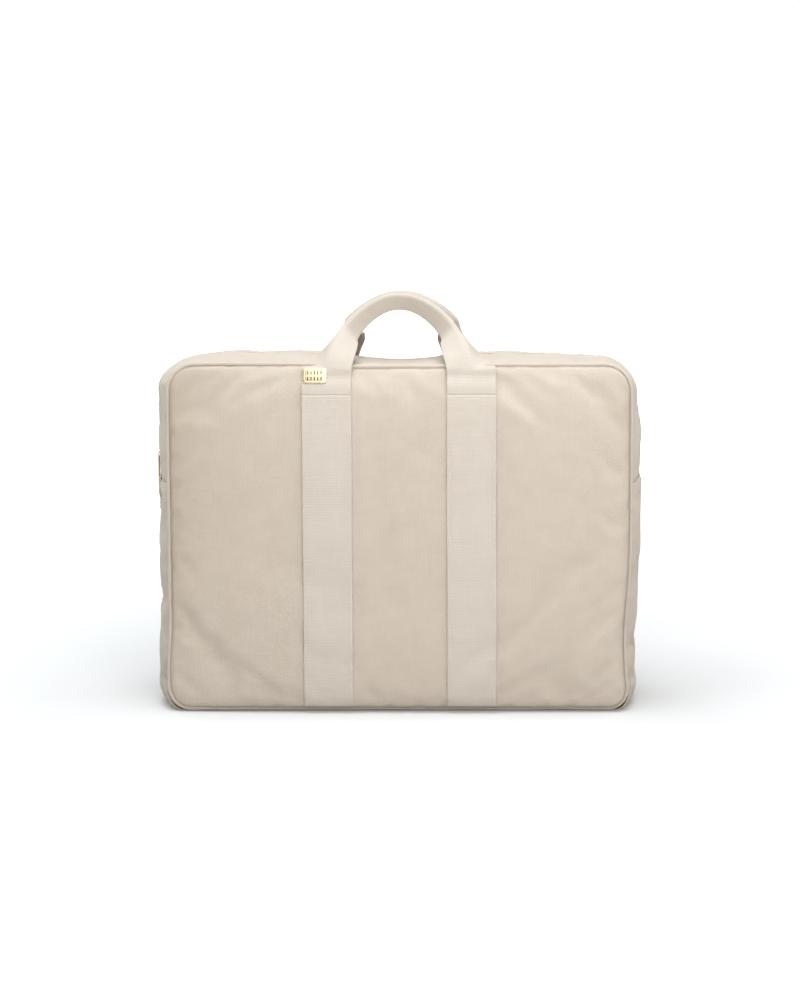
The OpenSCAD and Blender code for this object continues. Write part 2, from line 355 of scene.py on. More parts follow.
class Nodes:
    """A short way to write a material's nodes."""

    def __init__(self, name):
        self.material = bpy.data.materials.new(name)
        self.material.use_nodes = True
        self.tree = self.material.node_tree
        self.shader = self.tree.nodes["Principled BSDF"]

    def node(self, kind, **values):
        made = self.tree.nodes.new(kind)
        for key, value in values.items():
            if hasattr(made, key):
                setattr(made, key, value)
            else:
                made.inputs[key].default_value = value
        return made

    def link(self, out, into):
        self.tree.links.new(out, into)

    def math(self, operation, a, b=None):
        made = self.tree.nodes.new("ShaderNodeMath")
        made.operation = operation
        for socket, value in zip(made.inputs, (a, b)):
            if value is None:
                continue
            if isinstance(value, (int, float)):
                socket.default_value = value
            else:
                self.link(value, socket)
        return made.outputs[0]

    def ramp(self, factor, low, high, dark, light):
        names = ("From Min", "From Max", "To Min", "To Max")
        made = self.node("ShaderNodeMapRange", **dict(zip(names, (low, high, dark, light))))
        self.link(factor, made.inputs["Value"])
        return made.outputs[0]

    def noise(self, vector, scale, detail=2.0):
        made = self.node("ShaderNodeTexNoise", Scale=scale, Detail=detail)
        self.link(vector, made.inputs["Vector"])
        return made.outputs["Fac"]

    def slub(self, a, b):
        """Noise that is drawn out along one thread."""
        place = self.node("ShaderNodeCombineXYZ")
        self.link(a, place.inputs[0])
        self.link(b, place.inputs[1])
        return self.noise(place.outputs[0], 900.0, 1.0)

    def surface(self, values):
        """Sets the shader's own sockets."""
        for key, value in values.items():
            self.shader.inputs[key].default_value = value

    def base(self, dark, light, factor):
        """A base colour between two colours."""
        made = self.node("ShaderNodeMix", data_type="RGBA", blend_type="MIX")
        made.inputs[6].default_value = tuple(dark) + (1,)
        made.inputs[7].default_value = tuple(light) + (1,)
        self.link(factor, made.inputs[0])
        self.link(made.outputs[2], self.shader.inputs["Base Color"])

    def bump(self, height, strength, distance):
        made = self.node("ShaderNodeBump", Strength=strength, Distance=distance)
        self.link(height, made.inputs["Height"])
        self.link(made.outputs[0], self.shader.inputs["Normal"])


def fabric(name, colour, pitch, bump, rough=0.9, rib=False, mottle=0.05, tint=(0.88, 0.84, 0.78)):
    """Woven cloth: over and under threads, slubs along both threads, uneven natural dye, and the
    painted light and shade that each point carries.
    """
    n = Nodes(name)
    uv = n.node("ShaderNodeUVMap", uv_map="weave").outputs[0]
    split = n.node("ShaderNodeSeparateXYZ")
    n.link(uv, split.inputs[0])
    u, v = split.outputs[0], split.outputs[1]
    su = n.math("SINE", n.math("MULTIPLY", u, math.pi / pitch[0]))
    sv = n.math("SINE", n.math("MULTIPLY", v, math.pi / pitch[1]))
    if rib:
        cross = n.math("MULTIPLY", n.math("ABSOLUTE", sv), 0.45)
        height = n.math("ADD", n.math("ABSOLUTE", su), cross)
    else:
        height = n.math("ADD", n.math("MULTIPLY", su, sv), n.math("ABSOLUTE", su))
    slubs = n.math("ADD", n.slub(n.math("MULTIPLY", u, 0.04), v),
                   n.slub(u, n.math("MULTIPLY", v, 0.04)))
    spots = n.noise(uv, 55.0, 3.0)
    fleck = n.noise(uv, 420.0, 0.0)
    spotted = n.ramp(spots, 0.3, 0.7, -mottle, mottle)
    shade = n.math("ADD", n.ramp(slubs, 0.7, 1.3, -0.05, 0.05), spotted)
    shade = n.math("SUBTRACT", shade, n.ramp(fleck, 0.76, 0.82, 0.0, 0.10))
    # Painted shade and highlight in the weave: its hollows are painted darker and its raised threads
    # paler
    shade = n.math("ADD", shade, n.ramp(height, -1.0, 2.0, -0.05, 0.04))
    # Painted light and shade: each point's value moves the colour towards the darker tint or the
    # paler colour
    painted_light_and_shade = n.node("ShaderNodeAttribute", attribute_name="painted_light_and_shade").outputs["Fac"]
    level = n.math("ADD", 0.75, n.math("MULTIPLY", shade, 2.2))
    n.base((c * t for c, t in zip(colour, tint)), (min(1, c * 1.06) for c in colour),
           n.math("SUBTRACT", level, painted_light_and_shade))
    n.surface({"Roughness": rough, "Specular IOR Level": 0.2, "Sheen Weight": 0.12,
               "Sheen Roughness": 0.6})
    n.bump(n.math("ADD", height, n.math("MULTIPLY", slubs, 0.8)), 0.55, bump)
    return n.material


def metal(name, colour, rough):
    """Gold plate with faint brushing and a few smudges."""
    n = Nodes(name)
    place = n.node("ShaderNodeTexCoord").outputs["Object"]
    smudge = n.noise(place, 260.0, 3.0)
    grain = n.noise(place, 2600.0, 1.0)
    n.surface({"Base Color": colour + (1,), "Metallic": 1.0})
    n.link(n.ramp(smudge, 0.3, 0.7, rough * 0.8, rough * 1.35), n.shader.inputs["Roughness"])
    n.bump(grain, 0.12, 0.08 * MM)
    return n.material


def plain(name, colour, rough, cell=0.0006, depth=0.0001):
    """Foam, board or nylon: an even colour with a fine cell structure."""
    n = Nodes(name)
    place = n.node("ShaderNodeTexCoord").outputs["Object"]
    cells = n.node("ShaderNodeTexVoronoi", Scale=1 / cell)
    n.link(place, cells.inputs["Vector"])
    far = cells.outputs["Distance"]
    n.base((c * 0.86 for c in colour), colour, n.ramp(far, 0.0, 0.5, 1.0, 0.4))
    n.surface({"Roughness": rough})
    n.bump(far, 0.4, depth)
    return n.material


def floor_material():
    """White paper that glows a little further out, so that the whole sweep stays white."""
    n = Nodes("floor")
    place = n.node("ShaderNodeTexCoord").outputs["Object"]
    distance = n.node("ShaderNodeVectorMath", operation="LENGTH")
    n.link(place, distance.inputs[0])
    n.surface({"Base Color": (0.6, 0.6, 0.6, 1), "Roughness": 0.9, "Specular IOR Level": 0.1,
               "Emission Color": (1, 1, 1, 1)})
    glow = n.ramp(distance.outputs["Value"], 0.3, 1.4, 0.13, 1.0)
    n.link(glow, n.shader.inputs["Emission Strength"])
    return n.material


CANVAS = (0.541, 0.470, 0.399)
WEBBING = (0.56, 0.502, 0.44)
MATERIALS = {
    "canvas": fabric("canvas", CANVAS, (0.95 * MM, 0.95 * MM), 0.22 * MM),
    "piping": fabric("piping", CANVAS, (0.95 * MM, 0.95 * MM), 0.2 * MM),
    "webbing": fabric("webbing", WEBBING, (1.3 * MM, 0.8 * MM), 0.28 * MM, rib=True, mottle=0.035),
    "lining": fabric("lining", (0.55, 0.50, 0.43), (0.5 * MM, 0.5 * MM), 0.1 * MM, rough=0.8),
    "zip_tape": fabric("zip_tape", (0.64, 0.56, 0.465), (0.7 * MM, 0.5 * MM), 0.12 * MM, rib=True),
    "thread": fabric("thread", (0.60, 0.54, 0.47), (0.35 * MM, 0.35 * MM), 0.08 * MM, rib=True),
    "foam": plain("foam", (0.80, 0.80, 0.77), 0.85),
    "board": plain("board", (0.08, 0.08, 0.085), 0.6),
    "zip_teeth": plain("zip_teeth", (0.66, 0.58, 0.48), 0.38, 0.0008, 0.00003),
    "enamel": plain("enamel", (0.16, 0.10, 0.05), 0.35, 0.0012, 0.00002),
    "brass": metal("brass", (0.56, 0.45, 0.27), 0.38),
    "gold_metal": metal("gold_metal", (0.80, 0.68, 0.45), 0.3),
}


def dress(obj, material):
    obj.data.materials.clear()
    obj.data.materials.append(MATERIALS[material])
    return obj


def set_painted_light_shade(obj, values):
    """Painted light and shade: how much darker each point's colour is painted, from 0 to 1, along
    seams and where less light falls; below 0 it is painted paler where more light falls.
    """
    attribute = obj.data.attributes.new("painted_light_and_shade", "FLOAT", "POINT")
    attribute.data.foreach_set("value", np.asarray(values, np.float32))


# ---- Cloth ----


def lay(obj, thickness, material, side=None):
    """Gives a sheet its thickness and look. With a side, its place is baked into its mesh; else it
    rides on the case.
    """
    obj = dress(thicken(obj, thickness), material)
    if side:
        fold_blend(obj)
    else:
        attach(obj, "case")
    return obj


CANVAS_CLOTH = {
    "quality": 6, "mass": 0.35, "vertex_group_mass": "seam", "tension_stiffness": 25,
    "compression_stiffness": 25, "shear_stiffness": 12, "air_damping": 6, "use_pressure": True,
}


def relax_cloth(obj, pinned, pressure, shrink, frames, cap, bend=0.6):
    """Lets a sheet of cloth settle under a little air pressure, with its seams pinned.

    cap is the furthest that any point may move. The result is applied to the mesh.
    """
    rest = np.array([v.co for v in obj.data.vertices])
    group = obj.vertex_groups.new(name="seam")
    for index, weight in enumerate(pinned):
        if weight > 0:
            group.add([index], float(weight), "REPLACE")
    mod = obj.modifiers.new("cloth", "CLOTH")
    cloth = mod.settings
    for key, value in CANVAS_CLOTH.items():
        setattr(cloth, key, value)
    cloth.bending_stiffness = bend
    cloth.shrink_min = shrink
    cloth.uniform_pressure_force = pressure
    cloth.effector_weights.gravity = 0
    mod.collision_settings.use_collision = False
    scene = bpy.context.scene
    for clock in (scene, mod.point_cache):
        clock.frame_start, clock.frame_end = 1, frames
    for step in range(1, frames + 1):
        scene.frame_set(step)
    dg = bpy.context.evaluated_depsgraph_get()
    shown = obj.evaluated_get(dg).to_mesh()
    moved = np.array([v.co for v in shown.vertices])
    obj.evaluated_get(dg).to_mesh_clear()
    obj.modifiers.clear()
    obj.vertex_groups.clear()
    shift = moved - rest
    length = np.linalg.norm(shift, axis=1, keepdims=True)
    shift *= np.minimum(1, cap / np.maximum(length, 1e-9))
    obj.data.vertices.foreach_set("co", (rest + shift).ravel())
    obj.data.update()
    scene.frame_set(1)


# ---- Panels ----


def panel_outline(inset, columns, rows):
    """Points (x, z) of a grid whose corners are rounded, inset from the piping's outer line."""
    r = CORNER_R - inset
    xs = np.linspace(-HALF_W + inset, HALF_W - inset, columns)
    zs = np.linspace(LOW_Z + inset, TOP_Z - inset, rows)
    grid = np.zeros((rows, columns, 2))
    for i, z in enumerate(zs):
        for j, x in enumerate(xs):
            dx = max(0.0, (abs(x) - ARC_X) / r)
            dz = max(0.0, (abs(z - MID_Z) - (HALF_H - CORNER_R)) / r)
            if dx > 0 and dz > 0:
                px = ARC_X + r * dx * math.sqrt(1 - dz * dz / 2)
                pz = HALF_H - CORNER_R + r * dz * math.sqrt(1 - dx * dx / 2)
                grid[i, j] = (math.copysign(px, x), MID_Z + math.copysign(pz, z - MID_Z))
            else:
                grid[i, j] = (x, z)
    return grid


def edge_distance(x, z, inset):
    """How far a point of the panel is inside its rounded outline."""
    r = CORNER_R - inset
    qx = abs(x) - ARC_X
    qz = abs(z - MID_Z) - (HALF_H - CORNER_R)
    outside = math.hypot(max(qx, 0), max(qz, 0))
    return r - (outside + min(max(qx, qz), 0))


def rise_from(distance, reach, steep):
    """From 0 at an edge towards 1. The steep share of it comes within a few millimetres."""
    d = max(0.0, distance)
    return 1 - (1 - steep) * math.exp(-d / reach) - steep * math.exp(-d / (4 * MM))


def crown(x, z):
    """How far the padding pushes the face out, from 0 at the seam to nearly 1 in the middle.

    The face is fullest low down and to the right, so it rises slowly from the left and the top.
    """
    left = rise_from(x + HALF_W, 56 * MM, 0.15)
    right = rise_from(HALF_W - x, 30 * MM, 0.7)
    top = rise_from(TOP_Z - z, 34 * MM, 0.0)
    low = rise_from(z - LOW_Z, 46 * MM, 0.5)
    return left * right * top * low


PANEL_INSET = 3.5 * MM
# Painted light: the canvas is painted paler along the top, where the light from above falls
PAINTED_TOP_LIGHT = 0.28
CROWN_H = 11.0 * MM
CREASE_W = 6.5 * MM
# Soft creases that the straps and corners pull: where from, which way, how long and how high
CREASES = (
    (STRAP_X + 20 * MM, 258 * MM, -38, 34 * MM, 1.0 * MM),
    (STRAP_X - 22 * MM, 262 * MM, -140, 30 * MM, 0.9 * MM),
    (-182 * MM, 262 * MM, -32, 36 * MM, 1.0 * MM),
    (STRAP_X + 20 * MM, 18 * MM, 24, 30 * MM, -0.3 * MM),
    (-STRAP_X - 24 * MM, 14 * MM, 160, 30 * MM, -0.3 * MM),
    (168 * MM, 252 * MM, -150, 30 * MM, 0.6 * MM),
)


def creases(x, z):
    total = 0.0
    for x0, z0, degrees, length, height in CREASES:
        c, s = math.cos(math.radians(degrees)), math.sin(math.radians(degrees))
        along = (x - x0) * c + (z - z0) * s
        off = -(x - x0) * s + (z - z0) * c
        ridge = bump_at(along, length * 0.45, length * 0.6) * bump_at(off, 0, CREASE_W)
        total += 0.7 * height * ridge
    return total


def panel_height(x, z, seed):
    """The distance of the face from the piping's plane."""
    d = edge_distance(x, z, PANEL_INSET)
    shoulder = 2.4 * MM * (1 - math.exp(-d / (2.6 * MM)))
    inner = 1 - math.exp(-d / (14 * MM))
    wave = 0.9 * MM * ripple(x, 0, z, 80 * MM, seed + 3)
    fold = 0.5 * MM * ripple(x * 0.6, 0, z, 26 * MM, seed + 8)
    pucker = 0.4 * MM * ripple(x, 0, z, 10 * MM, seed) * math.exp(-d / (14 * MM))
    return shoulder + CROWN_H * crown(x, z) + (wave + fold + creases(x, z)) * inner + pucker


def panel_grid(side, inset, columns, rows, depth=0.0):
    """The face's shape, or a layer of it that lies depth further in."""
    sign = SIDES[side]
    flat = panel_outline(inset, columns, rows)
    points = np.zeros((rows, columns, 3))
    for i in range(rows):
        for j in range(columns):
            x, z = flat[i, j]
            points[i, j] = settle((x, sign * (PIPE_Y + panel_height(x, z, 4.0 + sign) - depth), z))
    return points, flat


def rim_pins(shape):
    """1 round the rim of a grid of points, where its seams hold it, and 0 inside."""
    pins = np.ones(shape)
    pins[1:-1, 1:-1] = 0
    return pins


def panel_painted_light_shade(x, z):
    """Painted light and shade on the face: painted shade along its seams, towards its left and right
    edges, along the bottom and below both upper corners, and painted light along the top.
    """
    d = max(0.0, edge_distance(x, z, PANEL_INSET))
    # Painted shade towards the left and right edges of the face
    left = 0.64 * math.exp(-(x + HALF_W) / (42 * MM)) * ramp(z, 0, 190 * MM)
    right = 0.25 * math.exp(-(HALF_W - x) / (16 * MM)) * ramp(z, 60 * MM, 200 * MM)
    # Painted shade along the bottom and just below both upper corners
    low = 0.05 * math.exp(-(z - LOW_Z) / (10 * MM))
    side_gap = HALF_W - abs(x)
    low += 0.42 * math.exp(-side_gap / (14 * MM)) * bump_at(z, TOP_Z - 38 * MM, 20 * MM)
    # Painted light along the top, where the light from above falls
    painted_top_light = PAINTED_TOP_LIGHT * bump_at(z, TOP_Z, 18 * MM)
    # Painted shade along the seams
    return 0.28 * math.exp(-d / (2.2 * MM)) + left + right + low - painted_top_light


def make_panel(side):
    """Makes the padded canvas face. Gives a function that finds its distance from y = 0."""
    columns, rows = 118, 90
    points, flat = panel_grid(side, PANEL_INSET, columns, rows)
    obj = face_outwards(grid_object(f"{side}_panel", points, uv=flat))
    relax_cloth(obj, rim_pins((rows, columns)).ravel(), 0.8, -0.010, 22, 2.2 * MM)
    tree = surface_tree(obj)
    set_painted_light_shade(obj, [panel_painted_light_shade(x, z) for x, z in flat.reshape(-1, 2)])
    obj = lay(obj, CANVAS_T, "canvas", side)
    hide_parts(f"{side}_panel_lower", f"{side}_panel_upper")

    def height(x, z):
        hit = cast(tree, "y", SIDES[side], x, z)[0]
        return abs(hit.y) if hit is not None else FACE_Y

    return height


def make_layer(side, kind, inset, depth, thickness, height):
    """Foam or lining behind the settled face, following its shape."""
    sign = SIDES[side]
    points, flat = panel_grid(side, inset, 60, 46, depth)
    for row in points:
        for p in row:
            p[1] = sign * min(abs(p[1]), height(p[0], p[2]) - depth)
    obj = face_outwards(grid_object(f"{side}_{kind}", points, uv=flat))
    obj = lay(obj, thickness, kind, side)
    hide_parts(f"{side}_{kind}_lower", f"{side}_{kind}_upper")
    return obj


# ---- Piping ----


def ring_points(inset, step):
    """Points (x, z) and outward normals round the panel's outline, up the left side first."""
    r = CORNER_R - inset
    runs = []

    def line(a, b, normal):
        length = math.hypot(b[0] - a[0], b[1] - a[1])
        count = max(2, int(length / step))
        for k in range(count):
            t = k / count
            runs.append((a[0] + (b[0] - a[0]) * t, a[1] + (b[1] - a[1]) * t, *normal))

    def arc(cx, cz, start):
        count = max(8, int(r * math.pi / 2 / step))
        for k in range(count):
            a = math.radians(start) - k / count * math.pi / 2
            runs.append((cx + r * math.cos(a), cz + r * math.sin(a), math.cos(a), math.sin(a)))

    line((-ARC_X - r, ARC_LOW_Z), (-ARC_X - r, ARC_HIGH_Z), (-1, 0))
    arc(-ARC_X, ARC_HIGH_Z, 180)
    line((-ARC_X, ARC_HIGH_Z + r), (ARC_X, ARC_HIGH_Z + r), (0, 1))
    arc(ARC_X, ARC_HIGH_Z, 90)
    line((ARC_X + r, ARC_HIGH_Z), (ARC_X + r, ARC_LOW_Z), (1, 0))
    arc(ARC_X, ARC_LOW_Z, 0)
    line((ARC_X, ARC_LOW_Z - r), (-ARC_X, ARC_LOW_Z - r), (0, -1))
    arc(-ARC_X, ARC_LOW_Z, 270)
    return runs


CORD_R = 1.65 * MM
CORD_INSET = 2.4 * MM


def make_piping(side):
    """A thin cord under canvas. It sits inside the CAD ring, tight in the seam."""
    sign = SIDES[side]
    path = ring_points(CORD_INSET, 2.2 * MM)
    around = 14
    n = len(path)
    points = np.zeros((n + 1, around, 3))
    uv = np.zeros((n + 1, around, 2))
    travelled = 0.0
    for i in range(n + 1):
        x, z, nx, nz = path[i % n]
        if i:
            before = path[(i - 1) % n]
            travelled += math.hypot(x - before[0], z - before[1])
        swell = 1 + 0.05 * ripple(x, sign, z, 7 * MM, 9.0)
        drift = 0.35 * MM * ripple(x, sign, z, 30 * MM, 12.0)
        for j in range(around):
            a = 2 * math.pi * j / around
            out = math.cos(a) * CORD_R * swell + drift
            y = sign * (PIPE_Y + math.sin(a) * CORD_R * swell)
            points[i, j] = settle((x + nx * out, y, z + nz * out))
            uv[i, j] = (travelled, a * CORD_R + 0.6 * travelled)
    points[n] = points[0]
    obj = grid_object(f"{side}_piping", points, uv=uv, close_v=True)
    edit_mesh(obj, lambda bm: bmesh.ops.remove_doubles(bm, verts=bm.verts, dist=1e-6))
    # Painted light: the cord is painted paler along the top, where the light from above falls
    set_painted_light_shade(obj, [-PAINTED_TOP_LIGHT * ramp(v.co.z, TOP_Z - 15 * MM, TOP_Z) for v in obj.data.vertices])
    dress(obj, "piping")
    fold_blend(obj)
    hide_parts(f"{side}_piping_lower", f"{side}_piping_upper")


# ---- Gusset ----


TOP_BULGE = 3.0 * MM


def wall_bulge(sign, z):
    """The left wall is full all the way down. The right one is slacker near both corners."""
    if sign < 0:
        low = 0.78 + 0.22 * ramp(z, 20 * MM, 62 * MM)
        return (BULGE + 0.4 * MM * (1 - ramp(z, 168 * MM, 192 * MM))) * low
    upper = 0.5 + 0.5 * (1 - ramp(z, ARC_HIGH_Z - 34 * MM, ARC_HIGH_Z + 4 * MM))
    lower = 0.45 + 0.55 * ramp(z, 8 * MM, 50 * MM)
    return (BULGE - 1.2 * MM) * min(upper, lower) + 1.6 * MM * bump_at(z, 62 * MM, 24 * MM)


def wall(sign, zs):
    """The straight part of a path, from the fold up or down."""
    return [(sign * (ARC_X + EDGE_R), z, sign, 0.0, wall_bulge(sign, z)) for z in zs]


def upper_path(step):
    """(x, z, nx, nz, bulge) from the left fold over the top to the right fold."""
    halves = []
    for sign in (-1, 1):
        half = wall(sign, np.arange(FOLD_Z, ARC_HIGH_Z - step / 2, step))
        last = half[-1][4]
        for a in np.linspace(0, math.pi / 2, 16):
            c, s = math.cos(a), math.sin(a)
            full = last + (TOP_BULGE - last) * ramp(a, 0, math.radians(55))
            half.append((sign * (ARC_X + EDGE_R * c), ARC_HIGH_Z + EDGE_R * s, sign * c, s, full))
        halves.append(half)
    top = [(x, ARC_HIGH_Z + EDGE_R, 0.0, 1.0, TOP_BULGE * (1 - 0.5 * bump_at(x, 0, 60 * MM)))
           for x in np.arange(-ARC_X + step, ARC_X - step / 2, step)]
    return halves[0] + top + halves[1][::-1]


def lower_path(step):
    """The same from the left fold down, under the base and up to the right fold."""
    halves = []
    for sign in (-1, 1):
        half = wall(sign, np.arange(FOLD_Z, ARC_LOW_Z + step / 2, -step))
        last = half[-1][4]
        for a in np.linspace(0, math.pi / 2, 14):
            c, s = math.cos(a), math.sin(a)
            r = EDGE_R + BASE_DROP * s
            full = last * max(c, 0) ** (0.4 if sign < 0 else 1.1)
            half.append((sign * (ARC_X + r * c), ARC_LOW_Z - r * s, sign * c, -s, full))
        halves.append(half)
    base = [(x, 0.0, 0.0, -1.0, 0.0) for x in np.arange(-ARC_X + step, ARC_X - step / 2, step)]
    return halves[0] + base + halves[1][::-1]


def gusset_surface(path, ys, lift, wave=0.0, seed=1.0):
    """Points over a path and a list of places across the gusset, at a height over the canvas.

    lift is one height, or a function of the path's outward normal and of y.
    """
    points = np.zeros((len(path), len(ys), 3))
    uv = np.zeros((len(path), len(ys), 2))
    travelled = 0.0
    for i, (x, z, nx, nz, bulge) in enumerate(path):
        if i:
            travelled += math.hypot(x - path[i - 1][0], z - path[i - 1][1])
        share = min(1.0, bulge / BULGE)
        for j, y in enumerate(ys):
            v = y / GUSSET_HALF
            inner = max(0.0, 1 - v * v)
            out = bulge * inner + (lift(nx, nz, y) if callable(lift) else lift)
            out += wave * inner ** 0.5 * share * ripple(x, y * 0.7, z, 30 * MM, seed)
            out += 0.3 * wave * inner * share * ripple(x, y, z, 13 * MM, seed + 5)
            points[i, j] = settle((x + nx * out, y, z + nz * out))
            uv[i, j] = (travelled, y)
    return points, uv


def across(y0, y1, count):
    """Places across the gusset, closer together near both ends."""
    t = (1 - np.cos(np.linspace(0, math.pi, count))) / 2
    return y0 + (y1 - y0) * (0.35 * t + 0.65 * np.linspace(0, 1, count))


# Painted light and shade on a gusset: painted shade along its seams and near the floor, and painted
# light along the top
def gusset_painted_light_shade(points):
    ys = np.abs(points[:, :, 1]).ravel()
    zs = points[:, :, 2].ravel()
    painted_top_light = PAINTED_TOP_LIGHT * np.clip((zs - TOP_Z) / (20 * MM) + 1, 0, 1)
    return 0.22 * np.exp(-(GUSSET_HALF - ys) / (3 * MM)) + 0.15 * np.exp(-zs / (6 * MM)) - painted_top_light


LOWER_WAVE = 1.5 * MM


def make_lower_gusset():
    path = lower_path(4 * MM)
    ys = across(-GUSSET_HALF - SEAM_LAP, GUSSET_HALF + SEAM_LAP, 25)
    points, uv = gusset_surface(path, ys, 0.0, LOWER_WAVE, 6.0)
    points[:, :, 2] = np.maximum(points[:, :, 2], 0.0)
    obj = face_outwards(grid_object("lower_gusset", points, uv=uv))
    pins = rim_pins(points.shape[:2])
    pins[np.abs(points[:, :, 0]) < ARC_X] = 1
    relax_cloth(obj, pins.ravel(), 0.5, -0.035, 22, 2.2 * MM, 0.35)
    for v in obj.data.vertices:
        v.co.z = max(v.co.z, 0.0)
    set_painted_light_shade(obj, gusset_painted_light_shade(points))
    obj = lay(obj, CANVAS_T, "canvas")
    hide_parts("side_gusset_left", "side_gusset_right", "base_panel")


def make_zip_gusset(side):
    """One half of the gusset above the fold. Its edge at the zip is turned under, and stands up."""
    sign = SIDES[side]
    path = upper_path(4 * MM)
    ys = -sign * across(-GUSSET_HALF - SEAM_LAP, -CHANNEL, 17)

    def lip(nx, nz, y):
        return 1.3 * MM * bump_at(abs(y), CHANNEL + 2.5 * MM, 3.2 * MM)

    points, uv = gusset_surface(path, ys, lip, 0.6 * MM, 8.0 + sign)
    obj = face_outwards(grid_object(f"{side}_zip_gusset", points, uv=uv))
    relax_cloth(obj, rim_pins(points.shape[:2]).ravel(), 0.3, -0.012, 18, 1.6 * MM)
    set_painted_light_shade(obj, gusset_painted_light_shade(points))
    obj = lay(obj, CANVAS_T * 1.5, "canvas", side)
    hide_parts(f"{side}_zip_gusset")


def make_strip(name, path, ys, lift, thickness, material, side=None):
    """A plain band inside the gusset: a lining or a zip tape."""
    points, uv = gusset_surface(path, ys, lift)
    obj = face_outwards(grid_object(name, points, uv=uv))
    obj = lay(obj, thickness, material, side)
    return obj


def make_gusset_linings():
    base_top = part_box("base_lining")[1].z

    def lift(nx, nz, y):
        return -2.2 * MM - (base_top - 2.2 * MM) * ramp(-nz, 0.2, 0.95)

    half = GUSSET_HALF - 1.5 * MM
    lower = make_strip("lower_lining", lower_path(8 * MM), np.linspace(-half, half, 13), lift,
                       LINING_T, "lining")
    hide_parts("side_lining_left", "side_lining_right", "base_lining")
    for side, sign in SIDES.items():
        ys = sign * np.linspace(half, CHANNEL + 4 * MM, 9)
        band = make_strip(f"{side}_zip_lining", upper_path(8 * MM), ys, -2.6 * MM, LINING_T,
                          "lining", side)
        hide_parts(f"{side}_zip_lining")


# ---- Zip ----


TAPE_DEPTH = -1.5 * MM
TAPE_T = 0.55 * MM
TOOTH_PITCH = 1.5 * MM
# How high each layer of a tooth is, and how much of its outline is left there
TOOTH_LAYERS = ((0.0, 1.0), (1.25 * MM, 1.0), (1.6 * MM, 0.72))


def make_tapes():
    for side, sign in SIDES.items():
        ys = sign * np.linspace(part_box("back_zip_tape")[1].y, 0.3 * MM, 7)
        tape = make_strip(f"{side}_zip_tape", upper_path(5 * MM), ys, TAPE_DEPTH, TAPE_T,
                          "zip_tape", side)
        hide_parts(f"{side}_zip_tape")


def tooth_shape():
    """One moulded tooth: a foot on the tape, a waist and a wider head that hooks the other row.

    It points along -y from the tape at y = 2.3 mm to just past the middle.
    """
    outline = [(2.4, 0.42), (1.3, 0.42), (0.7, 0.28), (0.2, 0.48), (-0.35, 0.42), (-0.6, 0.2)]
    ring = [(y, w) for y, w in outline] + [(y, -w) for y, w in outline[::-1]]
    return [(w * MM, y * MM) for y, w in ring]


def make_teeth(side):
    sign = SIDES[side]
    path = upper_path(1.0 * MM)
    line, _ = gusset_surface(path, [0.0], TAPE_DEPTH)
    line = line[:, 0]
    length = np.concatenate([[0], np.cumsum(np.linalg.norm(np.diff(line, axis=0), axis=1))])
    count = int(length[-1] / TOOTH_PITCH)
    ring = tooth_shape()
    verts, faces = [], []
    for k in range(count):
        at = (k + (0.25 if sign > 0 else 0.75)) * TOOTH_PITCH
        here = Vector([np.interp(at, length, line[:, c]) for c in range(3)])
        ahead = Vector([np.interp(at + 0.5 * MM, length, line[:, c]) for c in range(3)])
        along = (ahead - here).normalized()
        side_dir = Vector((0, sign, 0))
        up = Vector((-along.z, 0, along.x))
        up = up if up.dot(here - Vector((0, 0, MID_Z))) > 0 else -up
        start = len(verts)
        for level, grow in TOOTH_LAYERS:
            for a, y in ring:
                verts.append(here + along * a * grow + side_dir * (y * grow + (1 - grow) * 0.9 * MM)
                             + up * level)
        faces += tube_faces(start, 3, len(ring))
    obj = mesh_object(f"{side}_zip_teeth_row", verts, faces)
    edit_mesh(obj)
    dress(obj, "zip_teeth")
    fold_blend(obj)
    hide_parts(f"{side}_zip_teeth")


def plate(name, outline, hole, thickness, bevel, material):
    """A flat plate with rounded edges, lying in YZ and centred on x = 0, with an optional hole."""
    bm = bmesh.new()
    loops = [outline] + ([hole] if hole else [])
    edges = []
    for loop in loops:
        verts = [bm.verts.new((0, y, z)) for y, z in loop]
        edges += [bm.edges.new((verts[k], verts[(k + 1) % len(verts)])) for k in range(len(verts))]
    bmesh.ops.triangle_fill(bm, edges=edges, use_beauty=True)
    mesh = bpy.data.meshes.new(name)
    bm.to_mesh(mesh)
    bm.free()
    obj = add_object(name, mesh)
    mod = obj.modifiers.new("thickness", "SOLIDIFY")
    mod.thickness = thickness
    mod.offset = 0
    edge = obj.modifiers.new("edge", "BEVEL")
    edge.width = bevel
    edge.segments = 3
    edge.limit_method = "ANGLE"
    edge.angle_limit = math.radians(50)
    apply_modifiers(obj)
    edit_mesh(obj)
    shade_smooth(obj)
    return dress(obj, material)


def mount(obj, body, node):
    """A finished metal part takes a CAD node's place and rides on a body."""
    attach(obj, body)
    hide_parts(node)


def oval(y_half, z_half, z_mid, count=28, power=1.0):
    return [(y_half * squarish(c, power), z_mid + z_half * squarish(s, power))
            for c, s in circle(count)]


def move(obj, offset):
    obj.data.transform(Matrix.Translation(offset))
    return obj


ZIP_SINK = 1.9 * MM


